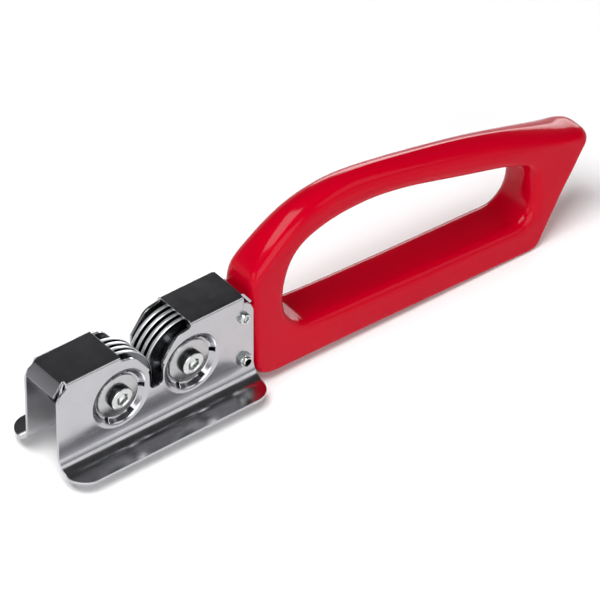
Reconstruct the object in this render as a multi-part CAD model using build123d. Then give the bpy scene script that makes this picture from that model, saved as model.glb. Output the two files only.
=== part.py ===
from build123d import *
import os
from math import cos, radians, sin

# Handheld pull-through knife sharpener: a folded steel channel carries two packs of
# interleaved hard-steel discs, and a moulded loop handle is bolted into its rear end.
#
# Working frame: +X runs from the open front of the channel to the handle's tip, +Z is up,
# and Y = 0 is the middle plane. Lengths are in millimetres. Everything is moved at the
# end so that the origin is at the bottom centre of the whole tool.

# ---- folded channel ----
SHEET = 1.0                 # sheet thickness
CHANNEL_LENGTH = 78.0
CHANNEL_WIDTH = 17.7        # over the outer faces of the two walls
CHANNEL_HEIGHT = 34.8       # underside of the flanges to the top face
FLANGE = 11.35              # from a wall's outer face to the flange's free edge
FLANGE_CORNER = 7.0         # plan radius of the flange corners
FLANGE_BEND = 6.0           # bend radii are those of the sheet's middle surface
TOP_BEND = 1.1
WALL_Y = CHANNEL_WIDTH / 2
INNER_Y = WALL_Y - SHEET
FLANGE_Y = WALL_Y + FLANGE

# ---- end lips of the top plate ----
LIP_BEND_X = 3.5            # where the plate starts to turn down, from each end
LIP_LENGTH = 6.2
LIP_ANGLE = 54.0
LIP_HALF_WIDTH = 7.3
LIP_BEND = 1.2
RELIEF_GAP = 0.3            # from the start of the lip's bend to the plate's cut edge
EAR_FOOT_Z = 28.0           # the walls' cut-back top corners beside the lips
EAR_CORNER = (1.2, 30.6)
NOTCH_Z = 32.3

# ---- V opening over the discs ----
PLATE_LENGTH = 25.1         # length of each of the two plate sections
MIDDLE_X = CHANNEL_LENGTH / 2
WALL_TOP_Z = 33.1           # the walls' sheared edge between the plate sections
SHOULDER_X = 8.4            # from the middle plane to the rounded shoulder
SHOULDER_Z = 31.8
SLOT_HALF = 2.65
SLOT_TOP_Z = 24.0
SLOT_BOTTOM_Z = 15.7

# ---- pressed dishes round the disc axes ----
AXIS_OFFSET = 14.2          # each disc axis from the middle plane of the V
AXIS_Z = 18.15
DISH_RIM = 11.6
DISH_CONE = 10.7
DISH_FLOOR = 8.7
DISH_DEPTH = 2.2
DISH_BEND = 0.9
DISH_SLOTS = 6
DISH_SLOT_REACH = 9.3       # from the disc axis to the middle of each slot
DISH_SLOT_LENGTH = 1.9
DISH_SLOT_WIDTH = 1.7
SCREW_HOLE = 2.52

# ---- disc packs ----
DISC_RADIUS = 15.0
DISC_THICKNESS = 1.25
DISC_COUNT = 4
DISC_PITCH = 2.65
DISC_EDGE = 0.15
AXLE_RADIUS = 4.5
AXLE_SLACK = 0.02
SPACER_RADIUS = 8.0
PACK_END = INNER_Y - DISH_DEPTH - 0.05
WASHER_RADIUS = 7.9
WASHER_THICKNESS = 0.8
WASHER_FACE = WALL_Y - DISH_DEPTH + 0.03
CLAMP_SHANK = 2.45
CLAMP_THREAD_HOLE = 2.5
CLAMP_HEAD_RADIUS = 4.3
CLAMP_HEAD_HEIGHT = 2.4
CLAMP_REACH = 6.0           # how far the clamp screw goes past the washer
CLAMP_HEAD_CHAMFER = 0.45
HEX_KEY = 4.0
HEX_DEPTH = 1.7

# ---- loop handle ----
HANDLE_FRONT_X = CHANNEL_LENGTH + 0.6
HALF_WIDTH_AT_BASE = 10.2   # half of the handle's width at the height of the flanges
HALF_WIDTH_TAPER = 0.075    # how much that half width loses for each millimetre of height
WEDGE_HEIGHTS = (-10.0, 70.0)   # reach of the tapering wedge that shapes the sides
WEDGE_LENGTH = 150.0
TIP = (222.8, 29.3)         # corners of the outline in the X-Z plane
REAR_BEND = (212.9, 20.4)
HEEL = (195.2, -4.5)
CHIN = (HANDLE_FRONT_X, -1.0)
ARCH_START_Z = 31.4         # where the upright front turns into the arched back
ARCH_POINTS = [(81.3, 40.2), (99.6, 53.7), (117.5, 57.3), (130.1, 56.1), (173.4, 46.5)]
TIP_RADIUS = 3.4
REAR_BEND_RADIUS = 30.0
HEEL_RADIUS = 4.0
CHIN_RADIUS = 5.5
OUTER_ROUND = 3.0
INNER_ROUND = 2.4
OPENING_LOW_FRONT = (91.9, 11.8)
OPENING_LOW_REAR = (194.6, 6.8)
OPENING_HIGH_REAR = (194.6, 29.5)
OPENING_ROOF_START_Z = 22.0
OPENING_ROOF_POINTS = [(95.5, 36.0), (103.0, 42.3), (118.0, 45.2), (148.0, 41.8)]
OPENING_RADII = {OPENING_LOW_FRONT: 10.0, OPENING_LOW_REAR: 9.0, OPENING_HIGH_REAR: 6.0}
TONGUE_START_X = 69.8
TONGUE_TOP_Z = 28.4
TONGUE_BOTTOM_Z = 2.0
TONGUE_HALF = INNER_Y - 0.05
TONGUE_CHAMFER = 1.0
TONGUE_OVERLAP = 4.0        # how far the tongue runs into the loop

# ---- handle fixings ----
FIXING_X = 74.0
FIXING_UPPER_Z = 26.2
FIXING_LOWER_Z = 9.2
FIXING_SHANK = 1.25
FIXING_HOLE = 1.35
FIXING_HEAD_RADIUS = 2.1
FIXING_HEAD_HEIGHT = 1.5
FIXING_HEAD_ROUND = 0.5
FIXING_SOCKET = 2.0
FIXING_SOCKET_DEPTH = 0.9
FIXING_END_RECESS = 0.2     # the screw's point sits this far inside its nut's collar
NUT_ACROSS_FLATS = 4.6
NUT_HEIGHT = 1.5
NUT_COLLAR_RADIUS = 1.75
NUT_COLLAR_HEIGHT = 0.8

PACKS = {"front": MIDDLE_X - AXIS_OFFSET, "rear": MIDDLE_X + AXIS_OFFSET}
SIDES = {"left": -1, "right": 1}


def side_prism(outline, half_width):
    """Extrude an outline drawn in the X-Z plane equally to both sides of Y = 0."""
    face = outline if isinstance(outline, Sketch) else make_face(outline)
    return extrude(Plane.XZ.offset(-half_width) * face, 2 * half_width)


def across(radius, y_from, y_to, x=0.0, z=0.0):
    """A cylinder along Y between two Y values."""
    length = abs(y_to - y_from)
    return Pos(x, (y_from + y_to) / 2, z) * Rot(90, 0, 0) * Cylinder(radius, length)


def across_hexagon(flats, y_from, y_to, x=0.0, z=0.0):
    """A hexagonal prism along Y between two Y values, with two flats level."""
    blank = extrude(RegularPolygon(flats / 2, 6, major_radius=False, rotation=30), abs(y_to - y_from))
    blank = Pos(0, 0, -abs(y_to - y_from) / 2) * blank
    return Pos(x, (y_from + y_to) / 2, z) * Rot(90, 0, 0) * blank


# ---------------------------------------------------------------- folded channel

def channel_strip():
    """The folded strip: flange, wall, top plate, wall and flange in one sheet."""
    mid = SHEET / 2
    wall = WALL_Y - mid
    top = CHANNEL_HEIGHT - mid
    path = FilletPolyline(
        (-FLANGE_Y, mid), (-wall, mid), (-wall, top), (wall, top), (wall, mid), (FLANGE_Y, mid),
        radius=[FLANGE_BEND, TOP_BEND, TOP_BEND, FLANGE_BEND],
    )
    strip = extrude(Plane.YZ * trace(path, SHEET), CHANNEL_LENGTH)
    plan = Pos(MIDDLE_X, 0) * RectangleRounded(CHANNEL_LENGTH, 2 * FLANGE_Y, FLANGE_CORNER)
    return strip & extrude(plan, CHANNEL_HEIGHT)


def end_relief(mirrored):
    """What is cut off a top corner of the walls and plate to let the lip bend down."""
    over = CHANNEL_HEIGHT + 1
    plate_edge = LIP_BEND_X + RELIEF_GAP
    outline = Polyline(
        (-1, EAR_FOOT_Z), (0, EAR_FOOT_Z), EAR_CORNER, (plate_edge, NOTCH_Z), (plate_edge, over), (-1, over),
        close=True,
    )
    cut = side_prism(outline, WALL_Y + 1)
    return Pos(CHANNEL_LENGTH, 0, 0) * mirror(cut, Plane.YZ) if mirrored else cut


def end_lip(mirrored):
    """The end of the top plate, turned down between the walls."""
    top = CHANNEL_HEIGHT - SHEET / 2
    run = LIP_LENGTH * cos(radians(LIP_ANGLE))
    drop = LIP_LENGTH * sin(radians(LIP_ANGLE))
    path = FilletPolyline(
        (LIP_BEND_X + 3, top), (LIP_BEND_X, top), (LIP_BEND_X - run, top - drop), radius=LIP_BEND
    )
    lip = extrude(Plane.XZ * trace(path, SHEET), amount=LIP_HALF_WIDTH, both=True)
    return Pos(CHANNEL_LENGTH, 0, 0) * mirror(lip, Plane.YZ) if mirrored else lip


def v_opening():
    """The opening over the discs: a slot, two flared flanks and rounded shoulders."""
    over = CHANNEL_HEIGHT + 2
    edge = MIDDLE_X - PLATE_LENGTH
    half = [
        (edge, over), (edge, WALL_TOP_Z), (SHOULDER_X, SHOULDER_Z), (SLOT_HALF, SLOT_TOP_Z),
        (SLOT_HALF, SLOT_BOTTOM_Z),
    ]
    left = [(MIDDLE_X - x, z) for x, z in half]
    right = [(MIDDLE_X + x, z) for x, z in reversed(half)]
    radii = [0.2, 1.0, 4.5, 1.2, 1.9]
    outline = FilletPolyline(*left, *right, radius=radii + radii[::-1], close=True)
    return side_prism(outline, WALL_Y + 1)


def dish(x, side):
    """One pressed dish with its floor, cone and rim, and a hole for the clamp screw."""
    mid = SHEET / 2
    path = FilletPolyline(
        (SCREW_HOLE, -DISH_DEPTH - mid), (DISH_FLOOR, -DISH_DEPTH - mid),
        (DISH_CONE, -mid), (DISH_RIM, -mid),
        radius=DISH_BEND,
    )
    shell = revolve(trace(path, SHEET), Axis.Y)
    for index in range(DISH_SLOTS):
        slot = Box(DISH_SLOT_LENGTH, 3 * DISH_DEPTH, DISH_SLOT_WIDTH)
        slot = Pos(DISH_SLOT_REACH, -DISH_DEPTH / 2, 0) * slot
        shell -= Rot(0, 360 / DISH_SLOTS * index, 0) * slot
    shell = Pos(0, WALL_Y, 0) * shell
    if side < 0:
        shell = mirror(shell, Plane.XZ)
    return Pos(x, 0, AXIS_Z) * shell


def housing_shell():
    """The whole folded, pressed and punched channel as one solid."""
    shell = channel_strip()
    for mirrored in (False, True):
        shell -= end_relief(mirrored)
        shell += end_lip(mirrored)
    for x in PACKS.values():
        shell -= across(DISH_RIM - 0.3, -WALL_Y - 1, WALL_Y + 1, x, AXIS_Z)
        for side in SIDES.values():
            shell += dish(x, side)
    shell -= v_opening()
    for z in (FIXING_UPPER_Z, FIXING_LOWER_Z):
        shell -= across(FIXING_HOLE, -WALL_Y - 1, WALL_Y + 1, FIXING_X, z)
    return shell


# ---------------------------------------------------------------- loop handle

def tangent_arcs(before, points):
    """Arcs through the points in turn, each leaving in the direction the last one ended."""
    arcs = []
    for point in points:
        arcs.append(TangentArc(before @ 1, point, tangent=before % 1))
        before = arcs[-1]
    return arcs


def handle_outline():
    """Outer line of the handle: arched back, pointed tip, leaning rear end and flat base."""
    front = Line(CHIN, (HANDLE_FRONT_X, ARCH_START_Z))
    arch = tangent_arcs(front, [*ARCH_POINTS, TIP])
    face = make_face([front, *arch, Polyline(TIP, REAR_BEND, HEEL, CHIN)])
    rounded = {TIP: TIP_RADIUS, REAR_BEND: REAR_BEND_RADIUS, HEEL: HEEL_RADIUS, CHIN: CHIN_RADIUS}
    for corner, radius in rounded.items():
        face = fillet(face.vertices().sort_by_distance(corner)[0], radius)
    return face


def finger_opening_outline():
    """Line of the finger opening: high and round in front, low and square at the rear."""
    front = Line(OPENING_LOW_FRONT, (OPENING_LOW_FRONT[0], OPENING_ROOF_START_Z))
    roof = tangent_arcs(front, [*OPENING_ROOF_POINTS, OPENING_HIGH_REAR])
    face = make_face([front, *roof, Polyline(OPENING_HIGH_REAR, OPENING_LOW_REAR, OPENING_LOW_FRONT)])
    for corner, radius in OPENING_RADII.items():
        face = fillet(face.vertices().sort_by_distance(corner)[0], radius)
    return face


def width_wedge():
    """A wedge as long as the handle, whose sides lean in with height."""
    low, high = WEDGE_HEIGHTS
    at_low = HALF_WIDTH_AT_BASE - HALF_WIDTH_TAPER * low
    at_high = HALF_WIDTH_AT_BASE - HALF_WIDTH_TAPER * high
    section = Polyline((-at_low, low), (at_low, low), (at_high, high), (-at_high, high), close=True)
    return Pos(HANDLE_FRONT_X - 1, 0, 0) * extrude(Plane.YZ * make_face(section), WEDGE_LENGTH)


def opening_edges(loop):
    """The sharp edges where the finger opening breaks through the two sides."""
    outline = finger_opening_outline().bounding_box()
    edges = []
    for edge in loop.edges():
        box = edge.bounding_box()
        inside_x = outline.min.X - 1 < box.min.X and box.max.X < outline.max.X + 1
        inside_z = outline.min.Y - 1 < box.min.Z and box.max.Z < outline.max.Y + 1
        if inside_x and inside_z and abs(edge.center().Y) > 1:
            edges.append(edge)
    return edges


def tongue():
    """The block of the handle that fits between the channel's walls."""
    length = HANDLE_FRONT_X + TONGUE_OVERLAP - TONGUE_START_X
    height = TONGUE_TOP_Z - TONGUE_BOTTOM_Z
    block = Box(length, 2 * TONGUE_HALF, height)
    block = chamfer(block.edges().filter_by(Axis.Y).group_by(Axis.X)[0], TONGUE_CHAMFER)
    return Pos(TONGUE_START_X + length / 2, 0, TONGUE_BOTTOM_Z + height / 2) * block


def handle():
    """The moulded loop handle with its tongue and two cross holes."""
    loop = side_prism(handle_outline(), HALF_WIDTH_AT_BASE + 2) & width_wedge()
    rim = [edge for edge in loop.edges() if abs(edge.center().Y) > 1]
    loop = fillet(rim, OUTER_ROUND)
    loop -= side_prism(finger_opening_outline(), HALF_WIDTH_AT_BASE + 2)
    loop = fillet(opening_edges(loop.solid()), INNER_ROUND)
    solid = loop + tongue()
    for z in (FIXING_UPPER_Z, FIXING_LOWER_Z):
        solid -= across(FIXING_HOLE, -WALL_Y, WALL_Y, FIXING_X, z)
    return solid


# ---------------------------------------------------------------- disc packs

def ring(outer, inner, y_from, y_to, edge=0.0):
    """A flat ring along Y, with its outer edges eased when an edge size is given."""
    body = across(outer, y_from, y_to)
    if edge:
        body = chamfer(body.edges().filter_by(GeomType.CIRCLE), edge)
    return body - across(inner, y_from - 1, y_to + 1)


def clamp_screw(side):
    """A low-head hex-socket screw that pulls a washer against the axle's end."""
    under_head = WASHER_FACE + WASHER_THICKNESS
    face = under_head + CLAMP_HEAD_HEIGHT
    head = across(CLAMP_HEAD_RADIUS, under_head, face)
    head = chamfer(head.edges().filter_by(GeomType.CIRCLE).sort_by(Axis.Y)[-1], CLAMP_HEAD_CHAMFER)
    screw = head + across(CLAMP_SHANK, under_head - CLAMP_REACH, under_head)
    screw -= across_hexagon(HEX_KEY, face - HEX_DEPTH, face + 1)
    return screw if side > 0 else mirror(screw, Plane.XZ)


def disc_pack(name, offset):
    """All pieces of one pack, centred on its own axis: axle, discs, spacers and clamps."""
    span = (DISC_COUNT - 1) * DISC_PITCH
    first = offset - span / 2
    half = DISC_THICKNESS / 2
    pieces = {f"{name}_axle": ring(AXLE_RADIUS - AXLE_SLACK, CLAMP_THREAD_HOLE, -PACK_END, PACK_END)}
    for index in range(DISC_COUNT):
        y = first + index * DISC_PITCH
        pieces[f"{name}_disc_{index + 1}"] = ring(DISC_RADIUS, AXLE_RADIUS, y - half, y + half, DISC_EDGE)
        if index:
            pieces[f"{name}_spacer_{index}"] = ring(
                SPACER_RADIUS, AXLE_RADIUS, y - DISC_PITCH + half, y - half
            )
    low, high = first - half, first + span + half
    pieces[f"{name}_end_collar_left"] = ring(SPACER_RADIUS, AXLE_RADIUS, -PACK_END, low)
    pieces[f"{name}_end_collar_right"] = ring(SPACER_RADIUS, AXLE_RADIUS, high, PACK_END)
    for side_name, side in SIDES.items():
        near, far = sorted((side * WASHER_FACE, side * (WASHER_FACE + WASHER_THICKNESS)))
        pieces[f"{name}_washer_{side_name}"] = ring(WASHER_RADIUS, CLAMP_SHANK, near, far, 0.25)
        pieces[f"{name}_clamp_screw_{side_name}"] = clamp_screw(side)
    return pieces


# ---------------------------------------------------------------- handle fixings

def fixing_screw(side):
    """A small round-headed socket screw through both walls and the tongue."""
    face = WALL_Y + FIXING_HEAD_HEIGHT
    end = WALL_Y + NUT_HEIGHT + NUT_COLLAR_HEIGHT - FIXING_END_RECESS
    head = across(FIXING_HEAD_RADIUS, WALL_Y, face)
    head = fillet(head.edges().filter_by(GeomType.CIRCLE).sort_by(Axis.Y)[-1], FIXING_HEAD_ROUND)
    screw = head + across(FIXING_SHANK, -end, WALL_Y)
    screw -= across_hexagon(FIXING_SOCKET, face - FIXING_SOCKET_DEPTH, face + 1)
    return screw if side > 0 else mirror(screw, Plane.XZ)


def fixing_nut(side):
    """A small hexagon nut with a round locking collar."""
    top = WALL_Y + NUT_HEIGHT
    nut = across_hexagon(NUT_ACROSS_FLATS, WALL_Y, top)
    nut += across(NUT_COLLAR_RADIUS, top, top + NUT_COLLAR_HEIGHT)
    nut -= across(FIXING_SHANK, WALL_Y - 1, top + 2)
    return nut if side > 0 else mirror(nut, Plane.XZ)


def handle_fixings():
    """The two screws, put in from opposite sides, and their nuts."""
    pieces = {}
    for name, z, head_side in (("upper", FIXING_UPPER_Z, -1), ("lower", FIXING_LOWER_Z, 1)):
        place = Pos(FIXING_X, 0, z)
        pieces[f"{name}_handle_screw"] = place * fixing_screw(head_side)
        pieces[f"{name}_handle_nut"] = place * fixing_nut(-head_side)
    return pieces


# ---------------------------------------------------------------- whole tool

def all_pieces():
    """Every node of the tool in the working frame."""
    pieces = {"housing_shell": housing_shell(), "handle": handle()}
    offsets = {"front": -DISC_PITCH / 4, "rear": DISC_PITCH / 4}
    for name, x in PACKS.items():
        for node, piece in disc_pack(name, offsets[name]).items():
            pieces[node] = Pos(x, 0, AXIS_Z) * piece
    pieces.update(handle_fixings())
    return pieces


def main():
    """Write one STEP file for each node, with the origin at the tool's bottom centre."""
    pieces = all_pieces()
    box = Compound(children=[Compound(piece.solids()) for piece in pieces.values()]).bounding_box()
    place = Pos(-box.center().X, -box.center().Y, -box.min.Z)
    os.makedirs("parts", exist_ok=True)
    for node, piece in pieces.items():
        solids = [place * solid for solid in piece.solids()]
        export_step(solids[0] if len(solids) == 1 else Compound(solids), f"parts/{node}.step")
    print("moved by", -box.center().X, -box.center().Y, -box.min.Z, "size", box.size)


main()
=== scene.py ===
"""Handheld disc knife sharpener: its looks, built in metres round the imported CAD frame.

The tool is a folded stainless channel with outward foot flanges, two packs of interleaved
hard-steel discs clamped between its walls, and a glossy moulded loop handle.
"""
import logging
from dataclasses import dataclass, field
from enum import Enum
from math import atan2, cos, degrees, pi, radians, sin, tan
from typing import Any

import bmesh
import bpy
from mathutils import Matrix, Vector


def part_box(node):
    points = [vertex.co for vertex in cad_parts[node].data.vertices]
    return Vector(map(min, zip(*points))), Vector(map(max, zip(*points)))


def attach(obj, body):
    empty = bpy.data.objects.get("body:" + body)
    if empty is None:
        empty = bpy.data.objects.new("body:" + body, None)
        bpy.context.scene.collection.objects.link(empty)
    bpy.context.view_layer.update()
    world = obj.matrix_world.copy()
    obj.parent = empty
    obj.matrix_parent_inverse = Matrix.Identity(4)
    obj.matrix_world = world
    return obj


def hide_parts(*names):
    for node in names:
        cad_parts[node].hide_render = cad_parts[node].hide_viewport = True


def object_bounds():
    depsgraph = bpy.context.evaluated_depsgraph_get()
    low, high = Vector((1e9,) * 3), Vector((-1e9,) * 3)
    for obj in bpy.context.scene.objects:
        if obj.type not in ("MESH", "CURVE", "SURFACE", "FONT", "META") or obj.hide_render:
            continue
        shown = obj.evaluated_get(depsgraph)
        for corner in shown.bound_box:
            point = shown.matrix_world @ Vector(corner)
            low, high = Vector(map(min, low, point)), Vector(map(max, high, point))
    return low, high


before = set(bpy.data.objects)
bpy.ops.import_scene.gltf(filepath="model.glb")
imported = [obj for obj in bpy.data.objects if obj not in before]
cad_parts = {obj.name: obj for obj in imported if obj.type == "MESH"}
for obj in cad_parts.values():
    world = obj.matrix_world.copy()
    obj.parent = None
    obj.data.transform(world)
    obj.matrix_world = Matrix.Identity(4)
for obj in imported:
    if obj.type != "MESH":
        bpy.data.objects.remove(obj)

CAD_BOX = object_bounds()
LOG = logging.getLogger("sharpener")
MM = 0.001
CHANNEL_LENGTH = 78.0               # millimetres, as are all sizes of pieces
WALL_Y = 8.85                       # outer face of each wall
PACK_Z = 18.15                      # height of both packs' axes
PACK_OFFSET = 14.2                  # from the channel's middle to each pack's axis
UPRIGHT = Matrix.Rotation(pi / 2, 4, "X")   # turns a circle's axis from Z to Y
Point = tuple[float, float]
Point3 = tuple[float, float, float]
Edges = list[bmesh.types.BMEdge]
Socket = bpy.types.NodeSocket


class Body(Enum):
    """The bodies of the frame that pieces ride on."""

    HOUSING = "housing"
    FRONT = "front_disc_pack"
    REAR = "rear_disc_pack"


class Slot(Enum):
    """The record's material slots."""

    SHEET = "stainless_sheet"
    PLASTIC = "red_plastic"
    DISC = "hardened_disc"
    WASHER = "washer_steel"
    FIXING = "zinc_fixings"
    INNER = "inner_steel"


class Outline(Enum):
    """Shapes that a loop of a turned piece can have."""

    CIRCLE = "circle"
    HEXAGON = "hexagon"


# ---------------------------------------------------------------- small helpers

def linear(hex_colour: str) -> tuple[float, float, float, float]:
    """Turn an sRGB hex colour into linear RGBA.

    Args:
        hex_colour: Six hex digits with a leading hash.

    Returns:
        The linear colour with an alpha of one.
    """
    channels = [int(hex_colour[i:i + 2], 16) / 255 for i in (1, 3, 5)]
    return (*[c / 12.92 if c <= 0.04045 else ((c + 0.055) / 1.055) ** 2.4 for c in channels], 1.0)


def add_node(
    tree: bpy.types.NodeTree, kind: str, inputs: dict[str | int, Any] | None = None, **settings: Any,
) -> bpy.types.Node:
    """Add one node with its settings, and link or set its inputs.

    Args:
        tree: The node tree to add to.
        kind: The node's type name, without the leading ShaderNode.
        inputs: Socket names or indices, each with a value or a socket to link from.
        **settings: Properties of the node itself.

    Returns:
        The new node.
    """
    node = tree.nodes.new("ShaderNode" + kind)
    for name, value in settings.items():
        setattr(node, name, value)
    for name, value in (inputs or {}).items():
        if isinstance(value, bpy.types.NodeSocket):
            tree.links.new(value, node.inputs[name])
        else:
            node.inputs[name].default_value = value
    return node


@dataclass(frozen=True)
class Corner:
    """A corner of a wire, with the radius that it is rounded to."""

    at: Point3
    radius: float = 0.0
    steps: int = 5


def draw_wire(mesh_data: bmesh.types.BMesh, corners: list[Corner], closed: bool = True) -> Edges:
    """Draw a wire through corners and round each one to its own radius.

    Args:
        mesh_data: The bmesh to draw in.
        corners: The wire's corners in order.
        closed: Whether the last corner joins the first.

    Returns:
        The wire's edges.
    """
    before = set(mesh_data.edges)
    verts = [mesh_data.verts.new(corner.at) for corner in corners]
    for pair in zip(verts, verts[1:] + (verts[:1] if closed else [])):
        mesh_data.edges.new(pair)
    for index, corner in enumerate(corners):
        if corner.radius <= 0:
            continue
        legs = [Vector(corners[index - 1].at), Vector(corners[(index + 1) % len(corners)].at)]
        opening = (legs[0] - Vector(corner.at)).angle(legs[1] - Vector(corner.at))
        bmesh.ops.bevel(
            mesh_data, geom=[verts[index]], offset=corner.radius / tan(opening / 2), affect="VERTICES",
            segments=corner.steps, profile=0.5, material=-1,
        )
    return [edge for edge in mesh_data.edges if edge not in before]


def face_outwards(mesh_data: bmesh.types.BMesh) -> None:
    """Point a closed mesh's faces outwards."""
    bmesh.ops.recalc_face_normals(mesh_data, faces=mesh_data.faces)
    if mesh_data.calc_volume(signed=True) < 0:
        bmesh.ops.reverse_faces(mesh_data, faces=mesh_data.faces)


def bench_matrix() -> Matrix:
    """The move and scale from the maker's millimetre bench frame to the shared one.

    The bench frame's X runs from the channel's front end, and its Z from the flanges' underside.

    Returns:
        The matrix, worked out from the channel's box, which is symmetric along X.
    """
    low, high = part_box("housing_shell")
    shift = Vector(((low.x + high.x) / 2 - CHANNEL_LENGTH / 2 * MM, 0, low.z))
    return Matrix.Translation(shift) @ Matrix.Diagonal((MM, MM, MM, 1.0))


BENCH = bench_matrix()


def make_piece(
    mesh_data: bmesh.types.BMesh, name: str, body: Body, slot: Slot, material: bpy.types.Material,
    *nodes: str, sharp_angle: float = 32.0,
) -> bpy.types.Object:
    """Turn a bmesh in the bench frame into a riding piece that stands for CAD nodes.

    Args:
        mesh_data: The finished bmesh, in millimetres, which is freed.
        name: The piece's name.
        body: The body it rides on.
        slot: A material slot; not used.
        material: Its finish.
        *nodes: The CAD nodes that it replaces.
        sharp_angle: Edges that turn more than this many degrees stay sharp.

    Returns:
        The new object.
    """
    bmesh.ops.transform(mesh_data, matrix=BENCH, verts=mesh_data.verts)
    for face in mesh_data.faces:
        face.smooth = True
    mesh = bpy.data.meshes.new(name)
    mesh_data.to_mesh(mesh)
    mesh_data.free()
    mesh.set_sharp_from_angle(angle=radians(sharp_angle))
    mesh.materials.append(material)
    piece = bpy.data.objects.new(name, mesh)
    bpy.context.scene.collection.objects.link(piece)
    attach(piece, body.value)
    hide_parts(*nodes)
    LOG.info("%s: %d faces, rides on %s", name, len(mesh.polygons), body.value)
    return piece


def add_modifier(piece: bpy.types.Object, kind: str, **settings: Any) -> None:
    """Add a modifier to a piece and set its properties."""
    modifier = piece.modifiers.new(kind.title(), kind)
    for name, value in settings.items():
        setattr(modifier, name, value)


# ---------------------------------------------------------------- finishes

def millimetres(
    tree: bpy.types.NodeTree, stretch: Point3 = (1, 1, 1), centre: Vector | None = None,
) -> Socket:
    """Object coordinates in millimetres, centred and stretched for a pattern.

    Args:
        tree: The material's node tree.
        stretch: Factors on X, Y and Z; a small one draws the pattern out along that axis.
        centre: The point in metres that the pattern is centred on.

    Returns:
        The vector socket.
    """
    coordinates = add_node(tree, "TexCoord")
    scale = [factor / MM for factor in stretch]
    place = [-middle * factor for middle, factor in zip(centre or Vector(), scale)]
    mapping = add_node(
        tree, "Mapping", {"Vector": coordinates.outputs["Object"], "Location": place, "Scale": scale}
    )
    return mapping.outputs["Vector"]


@dataclass
class Finish:
    """A principled material that a finish's methods link patterns into."""

    name: str
    metallic: float = 0.0
    material: bpy.types.Material = field(init=False)
    tree: bpy.types.NodeTree = field(init=False)
    shader: bpy.types.Node = field(init=False)

    def __post_init__(self) -> None:
        """Make the material with a bare shader on its output."""
        self.material = bpy.data.materials.new(self.name)
        self.material.use_nodes = True
        self.tree = self.material.node_tree
        self.tree.nodes.clear()
        self.shader = add_node(self.tree, "BsdfPrincipled", {"Metallic": self.metallic})
        add_node(self.tree, "OutputMaterial", {"Surface": self.shader.outputs["BSDF"]})

    def noise(self, vector: Socket, size_mm: float, detail: float = 3.0) -> Socket:
        """A noise pattern whose lumps are about size_mm across.

        Args:
            vector: Coordinates in millimetres.
            size_mm: The size of its lumps.
            detail: How many finer layers it has.

        Returns:
            The noise, from nought to one.
        """
        made = add_node(self.tree, "TexNoise", {
            "Vector": vector, "Scale": 1 / size_mm, "Detail": detail, "Roughness": 0.62,
        })
        return made.outputs["Fac"]

    def spread(
        self, value: Socket, low: float, high: float, start: float = 0.35, end: float = 0.65,
    ) -> Socket:
        """Map a pattern's middle values onto a range."""
        made = add_node(self.tree, "MapRange", {
            "Value": value, "From Min": start, "From Max": end, "To Min": low, "To Max": high,
        })
        return made.outputs["Result"]

    def blend(self, factor: Socket, first: str, second: str) -> Socket:
        """Blend two hex colours by a pattern."""
        made = add_node(self.tree, "Mix", {
            "Factor": factor, 6: linear(first), 7: linear(second),
        }, data_type="RGBA")
        return made.outputs[2]

    def sum(self, first: Socket, second: Socket | float, operation: str = "ADD") -> Socket:
        """Combine two patterns with one sum."""
        return add_node(self.tree, "Math", {0: first, 1: second}, operation=operation).outputs[0]

    def relief(self, height: Socket, depth_mm: float, strength: float = 1.0) -> None:
        """Raise a pattern from the surface by up to depth_mm."""
        bump = add_node(self.tree, "Bump", {
            "Height": height, "Strength": strength, "Distance": depth_mm * MM,
        })
        self.tree.links.new(bump.outputs["Normal"], self.shader.inputs["Normal"])

    def dress(self, colour: Socket, roughness: Socket) -> bpy.types.Material:
        """Link the colour and roughness patterns and hand over the material."""
        self.tree.links.new(colour, self.shader.inputs["Base Color"])
        self.tree.links.new(roughness, self.shader.inputs["Roughness"])
        return self.material


@dataclass(frozen=True)
class RolledStainless:
    """Cold-rolled stainless sheet: satin, with a fine grain along the rolling direction.

    The grain gives the eye long soft streaks, and handling leaves a faint mottle and specks.
    """

    colour: str = "#B8B8BB"
    shade: str = "#ABABAF"
    roughness: float = 0.17
    grain_width_mm: float = 0.25    # drawn coarser than the real 0.02 mm so that it shows
    grain_length_mm: float = 10.0
    mottle_mm: float = 6.0
    speck_mm: float = 0.7

    def build(self) -> bpy.types.Material:
        """Make the material."""
        finish = Finish("cold_rolled_stainless_sheet", metallic=1.0)
        stretch = (self.grain_width_mm / self.grain_length_mm, 1, 1)
        grain = finish.noise(millimetres(finish.tree, stretch), self.grain_width_mm)
        plain = millimetres(finish.tree)
        mottle = finish.noise(plain, self.mottle_mm, 4.0)
        specks = finish.noise(plain, self.speck_mm, 2.0)
        finish.relief(finish.sum(grain, specks), 0.004)
        wear = finish.sum(grain, mottle)
        rough = finish.spread(wear, self.roughness - 0.04, self.roughness + 0.08, 0.7, 1.3)
        return finish.dress(finish.blend(mottle, self.colour, self.shade), rough)


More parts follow.
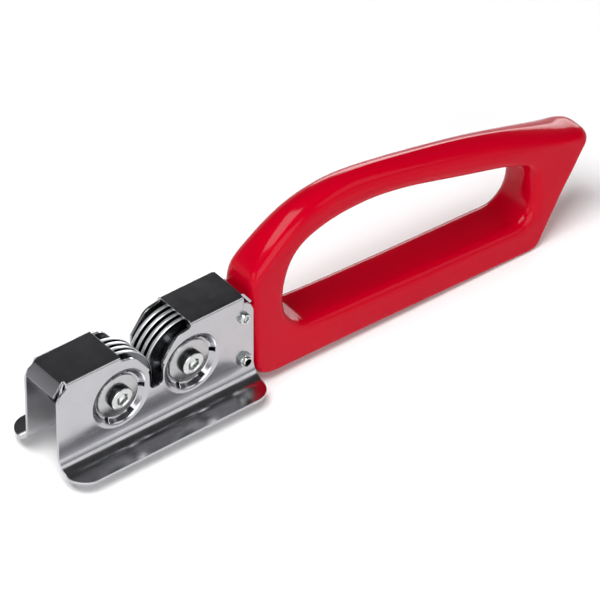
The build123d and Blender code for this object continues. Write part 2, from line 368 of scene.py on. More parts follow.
@dataclass(frozen=True)
class GlossPlastic:
    """Polished injection-moulded styrene plastic: deep colour under a glassy skin.

    The skin mirrors the studio softly, and slight sink and flow ripples bend the reflections.
    """

    colour: str = "#B40018"
    deep: str = "#AA001E"
    roughness: float = 0.1
    ripple_mm: float = 14.0
    scuff_mm: float = 1.2

    def build(self) -> bpy.types.Material:
        """Make the material."""
        finish = Finish("gloss_moulded_styrene")
        ripple = finish.noise(millimetres(finish.tree, (0.5, 1, 1)), self.ripple_mm, 1.0)
        scuff = finish.noise(millimetres(finish.tree, (0.25, 1, 1)), self.scuff_mm, 5.0)
        finish.relief(finish.sum(ripple, finish.sum(scuff, 0.004, "MULTIPLY")), 0.12)
        finish.shader.inputs["IOR"].default_value = 1.5
        finish.shader.inputs["Specular IOR Level"].default_value = 0.12
        rough = finish.spread(scuff, self.roughness, self.roughness + 0.08, 0.45, 0.75)
        return finish.dress(finish.blend(ripple, self.colour, self.deep), rough)


@dataclass(frozen=True)
class TurnedSteel:
    """Steel faced or ground while it turns, with fine rings round its axis.

    Its faces catch the light as a fan, and its rims as bands drawn out along the axis.
    Past rim_from_mm it can change colour, which paints shade: on the discs the faces are dark
    for the shade between discs, and on the clamp screws the knurled head sides are dark.
    """

    name: str
    axis: Vector
    colour: str
    shade: str
    roughness: float = 0.2
    ring_mm: float = 0.16           # drawn coarser than the real grit lines so that they show
    ring_depth_mm: float = 0.004
    rim_scatter: float = 1.0        # how many times deeper the lines on the rim are
    rim_from_mm: float = 0.0        # radius past which the rim has its own colour, used to paint shade
    face: str = "#626568"           # colour of the faces inside that radius; this default is a painted shade for the discs' faces between discs
    rim_roughness: float = 0.4

    def lines(self, finish: Finish, place: Socket) -> Socket:
        """Fine lines along one measure of place, in millimetres."""
        return add_node(finish.tree, "TexNoise", {
            "W": place, "Scale": 1 / self.ring_mm, "Detail": 2.0,
        }, noise_dimensions="1D").outputs["Fac"]

    def build(self) -> bpy.types.Material:
        """Make the material."""
        finish = Finish(self.name, metallic=1.0)
        flat = millimetres(finish.tree, (1, 0.0001, 1), self.axis)
        radius = add_node(finish.tree, "VectorMath", {0: flat}, operation="LENGTH").outputs["Value"]
        parts = add_node(finish.tree, "SeparateXYZ", {0: millimetres(finish.tree)})
        rings = self.lines(finish, radius)
        rim = finish.sum(self.lines(finish, parts.outputs["Y"]), self.rim_scatter, "MULTIPLY")
        stain = finish.noise(millimetres(finish.tree), 3.0, 4.0)
        finish.relief(finish.sum(rings, rim), self.ring_depth_mm)
        wear = finish.sum(rings, stain)
        rough = finish.spread(wear, self.roughness - 0.04, self.roughness + 0.1, 0.7, 1.3)
        colour = finish.blend(stain, self.colour, self.shade)
        # Painted shade: faces and rims get different colours, so that the disc faces between discs and
        # the knurled sides of the screw heads are dark.
        if self.rim_from_mm:
            edge = finish.spread(radius, 0.0, 1.0, self.rim_from_mm - 0.05, self.rim_from_mm + 0.05)
            colour = add_node(
                finish.tree, "Mix", {"Factor": edge, 6: linear(self.face), 7: colour}, data_type="RGBA"
            ).outputs[2]
            rough = add_node(
                finish.tree, "Mix", {"Factor": edge, 2: rough, 3: self.rim_roughness}
            ).outputs[0]
        return finish.dress(colour, rough)


@dataclass(frozen=True)
class ZincPlate:
    """Bright zinc over cold-formed steel: silvery, with a faint cool green bloom."""

    colour: str = "#C8CAC9"
    bloom: str = "#B2B8B5"
    roughness: float = 0.15
    bloom_mm: float = 1.4

    def build(self) -> bpy.types.Material:
        """Make the material."""
        finish = Finish("bright_zinc_plated_steel", metallic=1.0)
        plain = millimetres(finish.tree)
        cloud = finish.noise(plain, self.bloom_mm, 4.0)
        finish.relief(finish.noise(plain, 0.6, 2.0), 0.0015)
        rough = finish.spread(cloud, self.roughness - 0.04, self.roughness + 0.12)
        return finish.dress(finish.blend(cloud, self.colour, self.bloom), rough)


@dataclass(frozen=True)
class FloorPaper:
    """Matt white background paper: even and bright, with a tooth too fine to show."""

    colour: str = "#FCFCFC"
    shade: str = "#F9F9F9"

    def build(self) -> bpy.types.Material:
        """Make the material."""
        finish = Finish("white_background_paper")
        tooth = finish.noise(millimetres(finish.tree), 2.0)
        finish.relief(tooth, 0.02, 0.2)
        finish.shader.inputs["Specular IOR Level"].default_value = 0.1
        return finish.dress(finish.blend(tooth, self.colour, self.shade), finish.spread(tooth, 0.8, 0.9))


# ---------------------------------------------------------------- folded channel

@dataclass
class Channel:
    """The folded channel: walls, top plates, end lips, dishes, V opening and flanges."""

    sheet: float = 1.0
    length: float = CHANNEL_LENGTH
    wall_y: float = WALL_Y
    height: float = 34.8
    flange_edge: float = 20.2
    flange_corner: float = 7.0
    foot_bend: float = 5.5          # radii of the bends are those of the skin that shows
    foot_steps: int = 12
    corner_cuts: int = 16
    top_bend: float = 1.6
    top_steps: int = 7
    lip_start: float = 3.8
    lip_turn: float = 54.0
    lip_bend: float = 1.7
    lip_steps: int = 6
    lip_run: float = 5.1
    lip_notch: float = 1.7          # how far the notch beside the lip climbs from the ear
    wall_end_z: float = 28.0
    ear: Point = (1.2, 30.6)        # corner of the rounded ear beside each end lip
    v_mouth: float = 25.1           # where the front plate ends
    v_corners: tuple[Point3, ...] = (   # X, Z and rounding, down the opening's front side
        (25.1, 32.75, 0.4), (30.6, 31.8, 4.5), (36.35, 24.0, 1.2), (36.35, 15.7, 1.9),
    )
    axis_z: float = PACK_Z
    axis_offset: float = PACK_OFFSET
    dish_rim: float = 11.45
    dish_cone: float = 10.4
    dish_floor: float = 8.75
    dish_depth: float = 2.2
    screw_hole: float = 2.52
    dish_steps: int = 72
    slot_count: int = 6
    slot_half_turn: float = 5.1     # degrees
    slot_back: float = 0.6          # how far inside the cone's edges the slots lie
    fixing_x: float = 74.0
    fixing_z: tuple[float, float] = (26.2, 9.2)
    fixing_hole: float = 1.35
    edge_round: float = 0.13

    @property
    def top_z(self) -> float:
        """Height at which the walls start to bend into the top plates."""
        return self.height - self.top_bend

    @property
    def foot_z(self) -> float:
        """Height at which the walls start to bend into the flanges."""
        return self.sheet + self.foot_bend

    def wall_corners(self) -> list[Corner]:
        """Corners of the left wall's outline, with the V opening between the plates.

        Returns:
            The corners in order round the wall.
        """
        front_half = [
            (0, self.foot_z, 0), (0, self.wall_end_z, 2.0), (*self.ear, 2.0),
            (self.lip_start, self.ear[1] + self.lip_notch, 0.3), (self.lip_start, self.top_z, 0),
            (self.v_mouth, self.top_z, 0), *self.v_corners,
        ]
        rear_half = [(self.length - x, z, radius) for x, z, radius in reversed(front_half)]
        return [Corner((x, -self.wall_y, z), radius) for x, z, radius in front_half + rear_half]

    def press_dish(self, mesh_data: bmesh.types.BMesh, x: float) -> Edges:
        """Spin one pressed dish and pierce its slots.

        Args:
            mesh_data: The wall's bmesh.
            x: Where the dish's axis is along X.

        Returns:
            The edges of the dish's rim.
        """
        profile = [
            (self.dish_rim, 0, 0), (self.dish_cone, 0, 2.0), (self.dish_floor, self.dish_depth, 0.8),
            (self.screw_hole, self.dish_depth, 0),
        ]
        faces_before, edges_before = set(mesh_data.faces), set(mesh_data.edges)
        wire = draw_wire(mesh_data, [
            Corner((x + radius, depth - self.wall_y, self.axis_z), rounding)
            for radius, depth, rounding in profile
        ], closed=False)
        verts = list({vert for edge in wire for vert in edge.verts})
        bmesh.ops.spin(
            mesh_data, geom=verts + wire, cent=(x, 0, self.axis_z), axis=(0, 1, 0), angle=2 * pi,
            steps=self.dish_steps, use_merge=True,
        )
        pitch = 360 / self.slot_count
        nearest, farthest = self.dish_floor - self.slot_back, self.dish_cone - self.slot_back
        slots = []
        for face in [face for face in mesh_data.faces if face not in faces_before]:
            middle = face.calc_center_median() - Vector((x, 0, self.axis_z))
            turn = degrees(atan2(middle.z, middle.x)) % pitch
            reach = Vector((middle.x, middle.z)).length
            if min(turn, pitch - turn) < self.slot_half_turn and nearest < reach < farthest:
                slots.append(face)
        bmesh.ops.delete(mesh_data, geom=slots, context="FACES")
        return [
            edge for edge in mesh_data.edges
            if edge not in edges_before and len(edge.link_faces) == 1
            and all(abs(vert.co.y + self.wall_y) < 0.001 for vert in edge.verts)
        ]

    def add_wall(self, mesh_data: bmesh.types.BMesh) -> None:
        """Fill the left wall between its outline, its dishes and its fixing holes."""
        rings: Edges = []
        for side in (-1, 1):
            rings += self.press_dish(mesh_data, self.length / 2 + side * self.axis_offset)
        for z in self.fixing_z:
            place = Matrix.Translation((self.fixing_x, -self.wall_y, z)) @ UPRIGHT
            hole = bmesh.ops.create_circle(mesh_data, segments=24, radius=self.fixing_hole, matrix=place)
            rings += list({edge for vert in hole["verts"] for edge in vert.link_edges})
        rings += draw_wire(mesh_data, self.wall_corners())
        bmesh.ops.triangle_fill(mesh_data, use_beauty=True, edges=rings, normal=(0, -1, 0))

    def edges_at(self, mesh_data: bmesh.types.BMesh, **place: float) -> Edges:
        """The open edges that lie at the given x, y or z.

        Args:
            mesh_data: The channel's bmesh.
            **place: One value for each axis that matters.

        Returns:
            The edges.
        """
        return [
            edge for edge in mesh_data.edges if len(edge.link_faces) == 1 and all(
                abs(getattr(vert.co, axis) - at) < 0.01
                for vert in edge.verts for axis, at in place.items()
            )
        ]

    def bend(
        self, mesh_data: bmesh.types.BMesh, edges: Edges, centre: Point3, axis: Point3, angle: float,
        steps: int, onward: Point3,
    ) -> None:
        """Bend sheet round an axis from some edges, then run it straight on.

        Args:
            mesh_data: The channel's bmesh.
            edges: The edges that the bend starts from.
            centre: A point of the bend's axis.
            axis: The bend's axis.
            angle: The turn in degrees.
            steps: Steps in the bend.
            onward: How far the sheet runs on after it.
        """
        geom = edges + list({vert for edge in edges for vert in edge.verts})
        made = bmesh.ops.spin(
            mesh_data, geom=geom, cent=centre, axis=axis, angle=radians(angle), steps=steps
        )
        last = [part for part in made["geom_last"] if isinstance(part, bmesh.types.BMEdge)]
        flat = bmesh.ops.extrude_edge_only(mesh_data, edges=last)
        moved = [part for part in flat["geom"] if isinstance(part, bmesh.types.BMVert)]
        bmesh.ops.translate(mesh_data, verts=moved, vec=onward)

    def add_flange(self, mesh_data: bmesh.types.BMesh) -> None:
        """Bend the wall's foot out into its flange and round the flange's two corners."""
        start = self.wall_y + self.foot_bend
        self.bend(
            mesh_data, self.edges_at(mesh_data, y=-self.wall_y, z=self.foot_z), (0, -start, self.foot_z),
            (1, 0, 0), -90, self.foot_steps, (0, start - self.flange_edge, 0),
        )
        radius = self.flange_corner
        for x, side in ((radius, -1), (self.length - radius, 1)):
            centre = Vector((x, radius - self.flange_edge, 0))
            for step in range(self.corner_cuts):
                angle = (step + 0.5) / self.corner_cuts * pi / 2
                outward = Vector((side * cos(angle), -sin(angle), 0))
                bmesh.ops.bisect_plane(
                    mesh_data, geom=[*mesh_data.verts, *mesh_data.edges, *mesh_data.faces],
                    plane_co=centre + radius * outward, plane_no=outward, clear_outer=True,
                )

    def add_top(self, mesh_data: bmesh.types.BMesh) -> None:
        """Bend the wall's top over into half of each plate and turn the end lips down."""
        plate = self.wall_y - self.top_bend
        self.bend(
            mesh_data, self.edges_at(mesh_data, y=-self.wall_y, z=self.top_z), (0, -plate, self.top_z),
            (1, 0, 0), -90, self.top_steps, (0, plate, 0),
        )
        turn = radians(self.lip_turn)
        for x, side in ((self.lip_start, -1), (self.length - self.lip_start, 1)):
            self.bend(
                mesh_data, self.edges_at(mesh_data, x=x, z=self.height),
                (x, 0, self.height - self.lip_bend), (0, 1, 0), side * self.lip_turn, self.lip_steps,
                (side * self.lip_run * cos(turn), 0, -self.lip_run * sin(turn)),
            )

    def build(self, material: bpy.types.Material) -> bpy.types.Object:
        """Make the whole channel.

        Args:
            material: The sheet's finish.

        Returns:
            The channel.
        """
        mesh_data = bmesh.new()
        self.add_wall(mesh_data)
        self.add_flange(mesh_data)
        self.add_top(mesh_data)
        bmesh.ops.mirror(
            mesh_data, geom=[*mesh_data.verts, *mesh_data.edges, *mesh_data.faces], axis="Y",
            merge_dist=0.001,
        )
        bmesh.ops.remove_doubles(mesh_data, verts=mesh_data.verts, dist=0.002)
        bmesh.ops.recalc_face_normals(mesh_data, faces=mesh_data.faces)
        top = max(mesh_data.faces, key=lambda face: face.calc_center_median().z)
        if top.normal.z < 0:
            bmesh.ops.reverse_faces(mesh_data, faces=mesh_data.faces)
        piece = make_piece(
            mesh_data, "channel_shell", Body.HOUSING, Slot.SHEET, material, "housing_shell"
        )
        add_modifier(piece, "SOLIDIFY", thickness=self.sheet * MM, offset=-1.0, use_even_offset=True)
        add_modifier(
            piece, "BEVEL", width=self.edge_round * MM, segments=2, limit_method="ANGLE",
            angle_limit=radians(45), harden_normals=True, use_clamp_overlap=False,
        )
        return piece


# ---------------------------------------------------------------- loop handle

@dataclass(frozen=True)
class Station:
    """One section of the handle's loop, from its outer line to the finger opening."""

    outer: Point
    inner: Point
    crown: float = 4.6              # rounding at the outer line
    lip: float = 3.4                # rounding at the finger opening


@dataclass
class LoopHandle:
    """The moulded loop handle: an arched back, a pointed tip, a flat base and a tongue."""

    base_half_width: float = 10.2
    taper: float = 0.075            # loss of half width for each millimetre of height
    corner_steps: int = 4
    base_crown: float = 1.6
    tongue_low: Point3 = (69.85, -7.75, 2.05)
    tongue_high: Point3 = (79.4, 7.75, 28.35)
    tongue_ease: float = 0.6

    def stations(self) -> list[Station]:
        """Sections round the loop: up the front, over the back to the tip, and home along the base.

        Returns:
            The stations, which the finished surface passes through.
        """
        base = self.base_crown
        return [
            Station((78.6, 4.5), (96.9, 12.7), 2.0, 2.8),
            Station((78.6, 10.5), (94.2, 14.9), 2.2, 2.8),
            Station((78.6, 17.5), (92.5, 18.0), 2.5),
            Station((78.6, 24.5), (91.9, 22.2), 2.4),
            Station((78.5, 30.7), (92.3, 27.2), 2.7),
            Station((79.4, 36.9), (93.6, 31.8), 3.5),
            Station((83.0, 41.7), (95.7, 36.2), 4.5),
            Station((87.8, 46.1), (98.9, 39.9), 5.4),
            Station((93.7, 50.4), (103.2, 42.4), 5.8),
            Station((100.6, 53.9), (108.3, 43.9), 6.2),
            Station((109.0, 56.2), (114.1, 44.9), 6.5),
            Station((118.5, 57.0), (121.0, 45.3), 6.8),
            Station((130.1, 55.8), (130.5, 45.0), 6.9),
            Station((144.3, 53.1), (143.2, 42.9), 7.0),
            Station((158.7, 49.9), (156.5, 39.4), 7.0),
            Station((173.3, 46.3), (169.6, 35.8), 7.1),
            Station((187.4, 42.1), (179.8, 33.2), 7.2),
            Station((199.2, 38.0), (185.6, 31.6), 7.2),
            Station((208.2, 34.6), (188.6, 30.6), 7.2),
            Station((214.9, 32.2), (190.9, 29.4), 6.6, 3.8),
            Station((219.5, 30.4), (192.6, 27.8), 5.8, 4.2),
            Station((219.9, 27.8), (193.7, 25.8), 4.8, 4.5),
            Station((217.2, 25.0), (194.1, 23.4), 3.8, 4.6),
            Station((212.8, 20.0), (194.3, 20.6), 2.2, 4.6),
            Station((207.6, 13.7), (194.4, 16.6), base, 4.6),
            Station((202.4, 6.1), (193.7, 12.5), base, 4.6),
            Station((198.4, 0.2), (192.1, 9.9), base, 4.6),
            Station((196.3, -2.9), (190.0, 8.3), base, 4.6),
            Station((194.6, -4.1), (187.2, 7.4), base, 4.6),
            Station((191.4, -4.4), (183.0, 7.4), base, 4.6),
            Station((183.0, -4.1), (175.0, 7.8), base, 4.6),
            Station((168.0, -3.7), (162.5, 8.4), base, 4.6),
            Station((150.0, -3.1), (147.5, 9.1), base, 4.6),
            Station((132.0, -2.6), (133.0, 9.8), base, 4.5),
            Station((115.0, -2.1), (120.0, 10.4), base, 4.4),
            Station((101.0, -1.7), (110.5, 10.9), base, 4.2),
            Station((91.5, -1.4), (104.5, 11.2), base, 4.0),
            Station((85.3, -1.2), (101.2, 11.4), base, 3.6),
            Station((81.4, -0.3), (99.6, 11.7), 1.7, 3.2),
            Station((79.3, 1.6), (98.3, 12.1), 1.8, 3.0),
        ]

    @staticmethod
    def cage(line: list[Vector], rounds: int = 60) -> list[Vector]:
        """Move a closed line's points so that its subdivided limit passes through the old ones.

        Args:
            line: The points to pass through.
            rounds: How often the points are corrected.

        Returns:
            The cage's points.
        """
        made = [point.copy() for point in line]
        for _ in range(rounds):
            ahead = made[1:] + made[:1]
            limits = [(made[i - 1] + 4 * made[i] + ahead[i]) / 6 for i in range(len(made))]
            made = [point + goal - limit for point, goal, limit in zip(made, line, limits)]
        return made

    def corner(self, point: Vector, side: int, radius: float) -> Corner:
        """A section's corner at a point of the X-Z plane, on one side."""
        half_width = self.base_half_width - self.taper * point.y
        return Corner((point.x, side * half_width, point.y), radius, self.corner_steps)

    def build_loop(self, material: bpy.types.Material) -> bpy.types.Object:
        """Loft the loop through its sections.

        Args:
            material: The handle's finish.

        Returns:
            The loop.
        """
        stations = self.stations()
        outer = self.cage([Vector(station.outer) for station in stations])
        inner = self.cage([Vector(station.inner) for station in stations])
        mesh_data = bmesh.new()
        loops = [
            draw_wire(mesh_data, [
                self.corner(high, 1, station.crown), self.corner(high, -1, station.crown),
                self.corner(low, -1, station.lip), self.corner(low, 1, station.lip),
            ])
            for station, high, low in zip(stations, outer, inner)
        ]
        for first, second in zip(loops, loops[1:] + loops[:1]):
            bmesh.ops.bridge_loops(mesh_data, edges=first + second)
        face_outwards(mesh_data)
        piece = make_piece(
            mesh_data, "handle_loop", Body.HOUSING, Slot.PLASTIC, material, "handle", sharp_angle=180
        )
        add_modifier(piece, "SUBSURF", levels=2, render_levels=2)
        add_modifier(piece, "WEIGHTED_NORMAL", keep_sharp=True)
        return piece

    def build_tongue(self, material: bpy.types.Material) -> bpy.types.Object:
        """Make the block that the channel's walls clamp."""
        low, high = Vector(self.tongue_low), Vector(self.tongue_high)
        mesh_data = bmesh.new()
        place = Matrix.Translation((low + high) / 2) @ Matrix.Diagonal((*(high - low), 1.0))
        bmesh.ops.create_cube(mesh_data, size=1.0, matrix=place)
        bmesh.ops.bevel(
            mesh_data, geom=list(mesh_data.edges), offset=self.tongue_ease, affect="EDGES", segments=3,
            profile=0.5, material=-1,
        )
        return make_piece(mesh_data, "handle_tongue", Body.HOUSING, Slot.PLASTIC, material, "handle")


# ---------------------------------------------------------------- turned pieces

@dataclass(frozen=True)
class Ring:
    """One closed loop of a turned piece: its radius, its place along Y and its outline.

    A hexagon's radius is half the distance across its flats. A knurl draws every second
    point of a circle in by its depth.
    """

    radius: float
    along: float
    outline: Outline = Outline.CIRCLE
    knurl: float = 0.0

    def draw(self, mesh_data: bmesh.types.BMesh, x: float, z: float, count: int) -> Edges:
        """Draw the loop round an axis along Y.

        Args:
            mesh_data: The bmesh to draw in.
            x: Where the axis is along X.
            z: Where the axis is along Z.
            count: Points in the loop, a multiple of six.

        Returns:
            The loop's edges.
        """
        place = Matrix.Translation((x, self.along, z)) @ UPRIGHT
        before = set(mesh_data.edges)
        if self.outline is Outline.HEXAGON:
            corner = self.radius / cos(pi / 6)
            bmesh.ops.create_circle(mesh_data, segments=6, radius=corner, matrix=place)
            sides = [edge for edge in mesh_data.edges if edge not in before]
            bmesh.ops.subdivide_edges(mesh_data, edges=sides, cuts=count // 6 - 1)
        else:
            made = bmesh.ops.create_circle(mesh_data, segments=count, radius=self.radius, matrix=place)
            grooves = made["verts"][::2] if self.knurl else []
            factor = 1 - self.knurl / self.radius
            bmesh.ops.scale(
                mesh_data, verts=grooves, vec=(factor, 1, factor), space=Matrix.Translation((-x, 0, -z))
            )
        return [edge for edge in mesh_data.edges if edge not in before]


def turn_piece(
    rings: list[Ring], x: float, z: float, count: int = 48, hollow: bool = False,
) -> bmesh.types.BMesh:
    """Join rings one after another into a turned solid round an axis along Y.

    Args:
        rings: The rings in order along the surface.
        x: Where the axis is along X.
        z: Where the axis is along Z.
        count: Points in each ring.
        hollow: Whether the last ring joins the first round a bore; otherwise both ends are filled.

    Returns:
        A closed bmesh with outward faces.
    """
    mesh_data = bmesh.new()
    loops = [ring.draw(mesh_data, x, z, count) for ring in rings]
    for first, second in zip(loops, loops[1:] + (loops[:1] if hollow else [])):
        bmesh.ops.bridge_loops(mesh_data, edges=first + second)
    for end in () if hollow else (loops[0], loops[-1]):
        bmesh.ops.edgeloop_fill(mesh_data, edges=end)
    face_outwards(mesh_data)
    return mesh_data


def eased_rings(outer: float, inner: float, low: float, high: float, ease: float) -> list[Ring]:
    """Rings of a flat washer-like piece whose outer corners are rounded.

    Args:
        outer: Outer radius.
        inner: Bore radius.
        low: Lower face along the axis.
        high: Upper face along the axis.
        ease: Radius of the outer corners.

    Returns:
        The rings, for a hollow piece.
    """
    rings = [Ring(inner, low)]
    for along, start in ((low + ease, pi), (high - ease, pi / 2)):
        for step in range(4):
            angle = start - step / 3 * pi / 2
            rings.append(Ring(outer - ease + ease * sin(angle), along + ease * cos(angle)))
    return [*rings, Ring(inner, high)]


@dataclass
class DiscPack:
    """One pack: axle, four ground discs, spacers, collars, washers and clamp screws."""

    name: str
    body: Body
    axis_x: float
    first_disc: float               # where the first disc's middle is along Y
    axis_z: float = PACK_Z
    disc_radius: float = 15.0
    disc_thickness: float = 1.25
    disc_ease: float = 0.16
    disc_pitch: float = 2.65
    disc_count: int = 4
    spacer_radius: float = 8.0
    spacer_ease: float = 0.12
    collar_ease: float = 0.1
    axle_radius: float = 4.48
    axle_bore: float = 2.5
    slack: float = 0.02             # between a bore and what it sits on
    pack_end: float = 5.6
    washer_radius: float = 7.9
    washer_start: float = 6.68
    washer_thickness: float = 0.8
    washer_ease: float = 0.26
    shank_radius: float = 2.45
    shank_reach: float = 6.0
    head_radius: float = 4.3
    head_height: float = 2.4
    head_chamfer: float = 0.45
    knurl: float = 0.02
    key_radius: float = 2.0         # half of the hexagon key's width
    key_depth: float = 1.7

    def place(
        self, mesh_data: bmesh.types.BMesh, part: str, slot: Slot, material: bpy.types.Material,
        sharp_angle: float = 32.0,
    ) -> None:
        """Turn a bmesh into the piece of that name, in place of the CAD node."""
        node = f"{self.name}_{part}"
        make_piece(mesh_data, f"{node}_visual", self.body, slot, material, node, sharp_angle=sharp_angle)

    def turned(self, rings: list[Ring], count: int = 48, hollow: bool = True) -> bmesh.types.BMesh:
        """Turn rings into a piece on this pack's axis."""
        return turn_piece(rings, self.axis_x, self.axis_z, count, hollow)

    def screw_rings(self, side: int) -> list[Ring]:
        """Rings of a low-head socket screw, from its point to the floor of its socket.

        Args:
            side: Minus one for the left wall and one for the right.

        Returns:
            The rings, for a solid piece.
        """
        seat = self.washer_start + self.washer_thickness
        face = seat + self.head_height
        hexagon = Outline.HEXAGON
        rings = [
            Ring(self.shank_radius - 0.4, seat - self.shank_reach),
            Ring(self.shank_radius, seat - self.shank_reach + 0.4),
            Ring(self.shank_radius, seat),
            Ring(self.head_radius - 0.15, seat),
            Ring(self.head_radius, seat + 0.15, knurl=self.knurl),
            Ring(self.head_radius, face - self.head_chamfer - 0.15, knurl=self.knurl),
            Ring(self.head_radius - 0.1, face - self.head_chamfer),
            Ring(self.head_radius - 0.18, face - self.head_chamfer * 0.6),
            Ring(self.head_radius - self.head_chamfer, face - 0.05),
            Ring(self.head_radius - self.head_chamfer - 0.12, face),
            Ring(self.key_radius + 0.22, face, hexagon),
            Ring(self.key_radius, face - 0.2, hexagon),
            Ring(self.key_radius, face - self.key_depth, hexagon),
            Ring(self.key_radius * 0.35, face - self.key_depth - 0.35),
        ]
        return [Ring(ring.radius, side * ring.along, ring.outline, ring.knurl) for ring in rings]

    def build(
        self, disc: bpy.types.Material, washer: bpy.types.Material, screw: bpy.types.Material,
        inner: bpy.types.Material,
    ) -> None:
        """Make the whole pack.

        Args:
            disc: Finish of the discs.
            washer: Finish of the washers.
            screw: Finish of the clamp screws.
            inner: Finish of the axle, spacers and collars.
        """
        half = self.disc_thickness / 2
        bore = self.axle_radius + self.slack
        self.place(self.turned([
            Ring(self.axle_bore, -self.pack_end), Ring(self.axle_radius, -self.pack_end),
            Ring(self.axle_radius, self.pack_end), Ring(self.axle_bore, self.pack_end),
        ]), "axle", Slot.INNER, inner)
        for index in range(self.disc_count):
            y = self.first_disc + index * self.disc_pitch
            rings = eased_rings(self.disc_radius, bore, y - half, y + half, self.disc_ease)
            self.place(self.turned(rings, 144), f"disc_{index + 1}", Slot.DISC, disc)
            if index:
                start = y - self.disc_pitch + half
                rings = eased_rings(self.spacer_radius, bore, start, y - half, self.spacer_ease)
                self.place(self.turned(rings, 72), f"spacer_{index}", Slot.INNER, inner)
        last = self.first_disc + (self.disc_count - 1) * self.disc_pitch
        for side_name, low, high in (
            ("left", -self.pack_end, self.first_disc - half), ("right", last + half, self.pack_end),
        ):
            rings = eased_rings(self.spacer_radius, bore, low, high, self.collar_ease)
            self.place(self.turned(rings, 72), f"end_collar_{side_name}", Slot.INNER, inner)
        for side_name, side in (("left", -1), ("right", 1)):
            seat = self.washer_start + self.washer_thickness
            low, high = sorted((side * self.washer_start, side * seat))
            hole = self.shank_radius + self.slack
            rings = eased_rings(self.washer_radius, hole, low, high, self.washer_ease)
            self.place(self.turned(rings, 96), f"washer_{side_name}", Slot.WASHER, washer)
            made = self.turned(self.screw_rings(side), 72, hollow=False)
            self.place(made, f"clamp_screw_{side_name}", Slot.FIXING, screw)


@dataclass
class HandleFixings:
    """Two small socket screws, put in from opposite sides, and their collared nuts."""

    x: float = 74.0
    heights: dict[str, tuple[float, int]] = field(      # each screw's height and its head's side
        default_factory=lambda: {"upper": (26.2, -1), "lower": (9.2, 1)}
    )
    wall_y: float = WALL_Y
    shank_radius: float = 1.24
    shank_end: float = 11.1
    head_radius: float = 2.1
    head_height: float = 1.5
    key_radius: float = 1.0
    key_depth: float = 0.9
    nut_radius: float = 2.3
    nut_height: float = 1.5
    collar_radius: float = 1.75
    collar_height: float = 0.8

    def screw_rings(self) -> list[Ring]:
        """Rings of a screw from its point to the floor of its socket, with the head at plus Y."""
        face = self.wall_y + self.head_height
        hexagon = Outline.HEXAGON
        return [
            Ring(self.shank_radius - 0.35, -self.shank_end),
            Ring(self.shank_radius, -self.shank_end + 0.2),
            Ring(self.shank_radius, self.wall_y),
            Ring(self.head_radius - 0.08, self.wall_y),
            Ring(self.head_radius, self.wall_y + 0.1),
            Ring(self.head_radius, face - 0.55),
            Ring(self.head_radius - 0.1, face - 0.25),
            Ring(self.head_radius - 0.3, face - 0.06),
            Ring(self.head_radius - 0.5, face),
            Ring(self.key_radius + 0.14, face, hexagon),
            Ring(self.key_radius, face - 0.14, hexagon),
            Ring(self.key_radius, face - self.key_depth, hexagon),
            Ring(self.key_radius * 0.3, face - self.key_depth - 0.15),
        ]

    def nut_rings(self) -> list[Ring]:
        """Rings of a nut from its seat, over its chamfered top and collar, into its bore."""
        top = self.wall_y + self.nut_height
        end = top + self.collar_height
        hexagon = Outline.HEXAGON
        return [
            Ring(self.shank_radius + 0.02, self.wall_y),
            Ring(self.nut_radius - 0.12, self.wall_y, hexagon),
            Ring(self.nut_radius, self.wall_y + 0.1, hexagon),
            Ring(self.nut_radius, top - 0.22, hexagon),
            Ring(self.nut_radius - 0.14, top),
            Ring(self.collar_radius + 0.08, top),
            Ring(self.collar_radius, top + 0.1),
            Ring(self.collar_radius, end - 0.3),
            Ring(self.collar_radius - 0.1, end - 0.1),
            Ring(self.collar_radius - 0.28, end),
            Ring(self.shank_radius + 0.02, end),
        ]

    def build(self, material: bpy.types.Material) -> None:
        """Make both screws and both nuts.

        Args:
            material: Their finish.
        """
        for name, (z, head_side) in self.heights.items():
            parts = (
                ("screw", self.screw_rings(), head_side, False),
                ("nut", self.nut_rings(), -head_side, True),
            )
            for part, plain, side, hollow in parts:
                node = f"{name}_handle_{part}"
                rings = [Ring(ring.radius, side * ring.along, ring.outline) for ring in plain]
                mesh_data = turn_piece(rings, self.x, z, 36, hollow)
                make_piece(mesh_data, f"{node}_visual", Body.HOUSING, Slot.FIXING, material, node)


# ---------------------------------------------------------------- studio

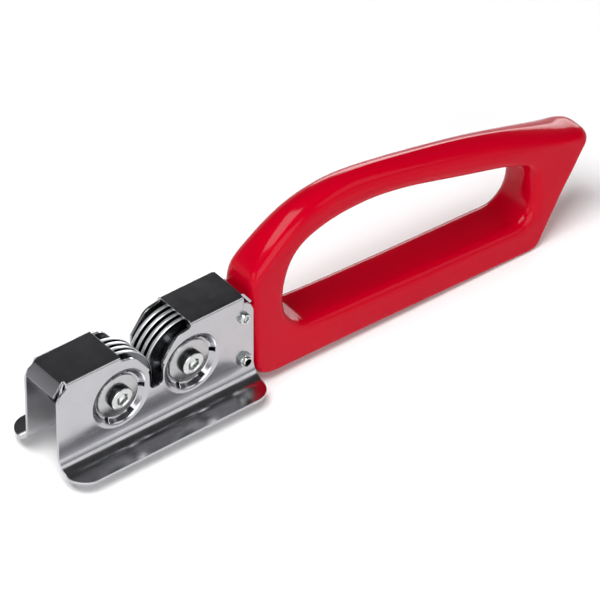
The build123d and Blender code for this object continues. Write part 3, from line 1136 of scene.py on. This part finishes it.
@dataclass
class Studio:
    """Pale floor, soft light from five sides and a white surround that darkens overhead."""

    azimuth: float = -38.044        # the camera's place round the object, in degrees
    elevation: float = 39.147
    distance: float = 2.255
    lens: float = 420.0
    aim: Point3 = (98.93, -6.21, 19.4)      # in the bench frame
    floor_half: float = 4.0
    floor_gap_mm: float = 0.02      # keeps the floor clear of the flanges' underside

    def add_floor(self) -> None:
        """Lay the floor under the object."""
        mesh_data = bmesh.new()
        bmesh.ops.create_grid(
            mesh_data, x_segments=1, y_segments=1, size=self.floor_half,
            matrix=Matrix.Translation((0, 0, CAD_BOX[0].z - self.floor_gap_mm * MM)),
        )
        mesh = bpy.data.meshes.new("studio_floor")
        mesh_data.to_mesh(mesh)
        mesh_data.free()
        mesh.materials.append(FloorPaper().build())
        floor = bpy.data.objects.new("studio_floor", mesh)
        bpy.context.scene.collection.objects.link(floor)

    def add_surround(self) -> None:
        """Wrap the scene in a surround that is white to just above the horizon and dark overhead."""
        world = bpy.data.worlds.new("studio_surround")
        world.use_nodes = True
        tree = world.node_tree
        tree.nodes.clear()
        coordinates = add_node(tree, "TexCoord")
        height = add_node(tree, "SeparateXYZ", {0: coordinates.outputs["Generated"]})
        ramp = add_node(tree, "ValToRGB", {"Fac": height.outputs["Z"]})
        ramp.color_ramp.interpolation = "EASE"
        stops = ((0.0, 0.95), (0.08, 0.9), (0.28, 0.24), (0.52, 0.06), (1.0, 0.045))
        while len(ramp.color_ramp.elements) < len(stops):
            ramp.color_ramp.elements.new(0.5)
        for element, (place, value) in zip(ramp.color_ramp.elements, stops):
            element.position = place
            element.color = (value, value, value * 1.03, 1)
        sky = add_node(tree, "Background", {"Color": ramp.outputs["Color"], "Strength": 1.0})
        add_node(tree, "OutputWorld", {"Surface": sky.outputs["Background"]})
        bpy.context.scene.world = world

    def add_softbox(
        self, name: str, direction: Point3, distance: float, size: Point, power: float,
    ) -> None:
        """Hang a softbox that faces the object.

        Args:
            name: The light's name.
            direction: The way to it from the object.
            distance: How far away it is, in metres.
            size: Its width and height, in metres.
            power: Its power in watts.
        """
        light = bpy.data.lights.new(name, "AREA")
        light.shape = "RECTANGLE"
        light.size, light.size_y = size
        light.energy = power
        lamp = bpy.data.objects.new(name, light)
        lamp.location = Vector(direction).normalized() * distance
        lamp.rotation_mode = "QUATERNION"
        lamp.rotation_quaternion = Vector(direction).to_track_quat("Z", "Y")
        bpy.context.scene.collection.objects.link(lamp)

    def add_camera(self) -> None:
        """Stand the camera at its place and aim it."""
        azimuth, elevation = radians(self.azimuth), radians(self.elevation)
        back = Vector((
            sin(azimuth) * cos(elevation), -cos(azimuth) * cos(elevation), sin(elevation)
        ))
        data = bpy.data.cameras.new("studio_camera")
        data.lens = self.lens
        data.sensor_width = 36.0
        data.clip_start, data.clip_end = 0.1, 50.0
        camera = bpy.data.objects.new("studio_camera", data)
        camera.location = BENCH @ Vector(self.aim) + back * self.distance
        camera.rotation_mode = "QUATERNION"
        camera.rotation_quaternion = (-back).to_track_quat("-Z", "Y")
        bpy.context.scene.collection.objects.link(camera)
        bpy.context.scene.camera = camera

    def build(self) -> None:
        """Set up the floor, the light and the camera."""
        self.add_floor()
        self.add_surround()
        self.add_softbox("overhead_softbox", (-0.36, -0.12, 0.93), 1.1, (0.8, 0.6), 13.0)
        self.add_softbox("front_softbox", (-0.3, -0.88, 0.38), 1.8, (1.4, 0.9), 12.0)
        self.add_softbox("left_softbox", (-0.88, -0.3, 0.38), 1.5, (0.7, 0.5), 2.5)
        self.add_softbox("right_softbox", (0.5, -0.7, 0.5), 1.5, (0.8, 0.5), 1.7)
        self.add_softbox("back_softbox", (0.66, 0.73, 0.18), 1.6, (1.1, 0.42), 7.0)
        self.add_camera()
        bpy.context.scene.view_settings.view_transform = "Standard"


def disc_axis(name: str) -> Vector:
    """The middle of a pack's first disc, in metres."""
    low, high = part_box(f"{name}_disc_1")
    return (low + high) / 2


def main() -> None:
    """Build the sharpener's pieces in order, then the studio."""
    logging.basicConfig(level=logging.INFO, format="%(name)s: %(message)s")
    sheet, plastic, zinc = RolledStainless().build(), GlossPlastic().build(), ZincPlate().build()
    Channel().build(sheet)
    handle = LoopHandle()
    handle.build_loop(plastic)
    handle.build_tongue(plastic)
    middle = CHANNEL_LENGTH / 2
    for pack in (
        DiscPack("front", Body.FRONT, middle - PACK_OFFSET, -4.6375),
        DiscPack("rear", Body.REAR, middle + PACK_OFFSET, -3.3125),
    ):
        axis = disc_axis(pack.name)
        # Painted shade: the discs' faces, inside 14.8 mm, keep the dark default face colour for the
        # shade between discs; the rims keep the bright steel colour.
        disc = TurnedSteel(
            f"{pack.name}_ground_steel_painted_shade", axis, "#F0F0F2", "#E2E3E6", rim_scatter=9.0,
            rim_from_mm=14.8,
        ).build()
        washer = TurnedSteel(f"{pack.name}_turned_washer_steel", axis, "#B6B6B7", "#A9A9AB").build()
        # Painted shade: the screw heads' knurled sides, past 4.1 mm, are coloured near black for shade;
        # the faces inside keep the bright zinc colour.
        screw = TurnedSteel(
            f"{pack.name}_zinc_screw_steel_painted_shade", axis, "#3A3C3D", "#2C2E2F", 0.18,
            ring_depth_mm=0.0012, rim_from_mm=4.1, face="#C4C6C5", rim_roughness=0.3,
        ).build()
        inner = TurnedSteel(f"{pack.name}_oiled_bar_steel", axis, "#8A8986", "#6F6E6B", 0.34).build()
        pack.build(disc, washer, screw, inner)
        LOG.info("%s disc pack done", pack.name)
    HandleFixings().build(zinc)
    Studio().build()


if __name__ == "__main__":
    main()
